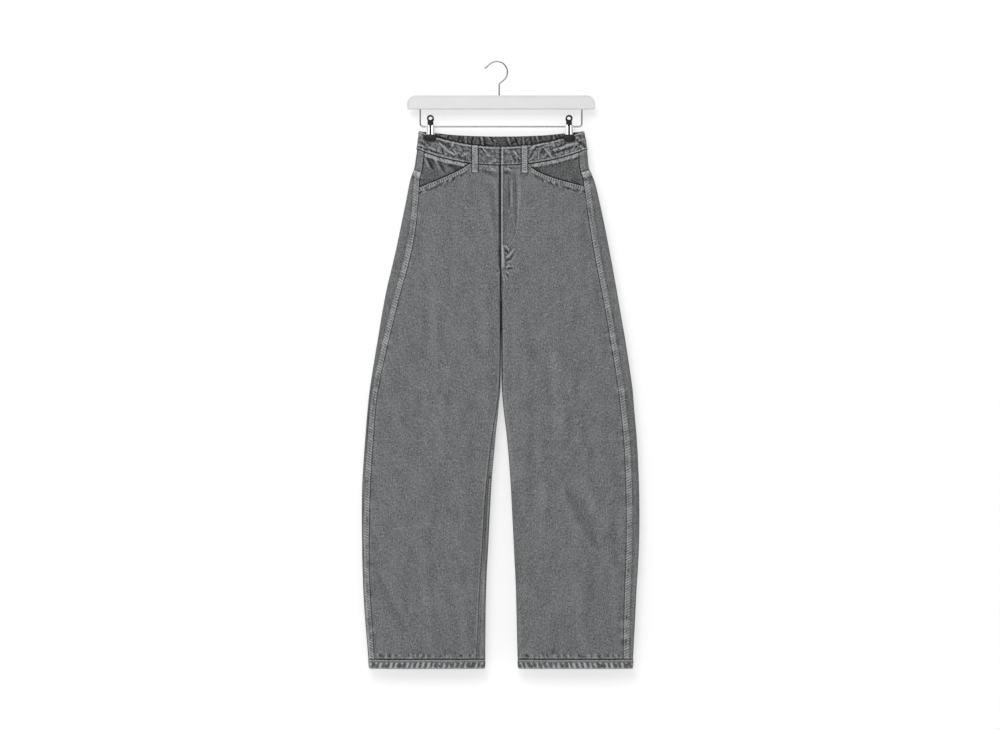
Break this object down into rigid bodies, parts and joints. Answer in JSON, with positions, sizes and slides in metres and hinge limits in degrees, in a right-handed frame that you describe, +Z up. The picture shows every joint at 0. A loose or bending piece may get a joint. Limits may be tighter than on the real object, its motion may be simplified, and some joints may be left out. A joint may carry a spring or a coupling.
{
  "type": "barrel leg trousers on a clip hanger",
  "caption": "Barrel leg denim trousers with scooped front pockets and a back yoke, hanging flat by two clips from a trouser hanger with a wire hook.",
  "frame": {"origin": "the hook's bearing point: under the top of the hook's arc, where it rests on a rail", "axes": "+Z up, towards the hook; -Y out of the front of the trousers; +X to the viewer's right"},
  "size_m": [0.5551, 0.0356, 1.2152],
  "materials": {
    "denim": "washed grey twill, matt",
    "facing_denim": "less washed grey twill, matt",
    "waistband_denim": "crinkled washed grey twill, matt",
    "hem_denim": "roped washed grey twill, matt",
    "hanger_plastic": "satin white",
    "chrome_wire": "polished",
    "pad_rubber": "matt black"
  },
  "bodies": {
    "root": {"front_panel_left": "denim", "front_panel_right": "denim", "back_panel_left": "denim", "back_panel_right": "denim", "back_yoke_left": "denim", "back_yoke_right": "denim", "pocket_facing_left": "facing_denim", "pocket_facing_right": "facing_denim", "waistband_left": "waistband_denim", "waistband_right": "waistband_denim", "belt_loop_front_left": "waistband_denim", "belt_loop_front_right": "waistband_denim", "belt_loop_back_left": "waistband_denim", "belt_loop_back_centre": "waistband_denim", "belt_loop_back_right": "waistband_denim", "hem_left": "hem_denim", "hem_right": "hem_denim", "hanger_bar": "hanger_plastic", "hanger_hook": "chrome_wire", "hanger_rod": "chrome_wire", "clip_spring_left": "chrome_wire", "clip_spring_right": "chrome_wire", "clip_jaw_front_left": "chrome_wire", "clip_jaw_back_left": "chrome_wire", "clip_jaw_front_right": "chrome_wire", "clip_jaw_back_right": "chrome_wire", "clip_pad_front_left": "pad_rubber", "clip_pad_back_left": "pad_rubber", "clip_pad_front_right": "pad_rubber", "clip_pad_back_right": "pad_rubber"}
  },
  "joints": []
}
